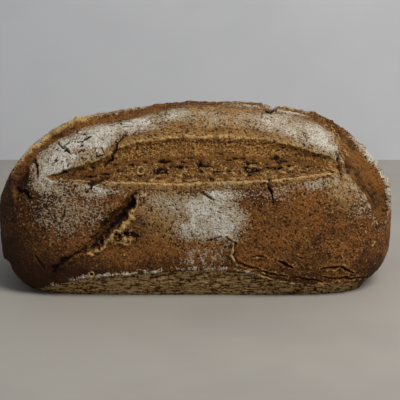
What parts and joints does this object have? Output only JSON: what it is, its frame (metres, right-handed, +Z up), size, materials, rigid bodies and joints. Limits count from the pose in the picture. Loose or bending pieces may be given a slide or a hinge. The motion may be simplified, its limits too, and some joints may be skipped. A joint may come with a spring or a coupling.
{
  "type": "tin loaf",
  "caption": "Rustic tin loaf of bread: floured dark crust, flat base, full sides and a domed top opened by long scores. It lies on its base.",
  "frame": {"origin": "middle of the loaf's footprint, on the plane that it rests on", "axes": "+X along the loaf's length, -Y towards its front, +Z up"},
  "size_m": [0.27, 0.132, 0.12],
  "materials": {
    "crust": null
  },
  "bodies": {
    "root": {"loaf": "crust"}
  },
  "joints": []
}
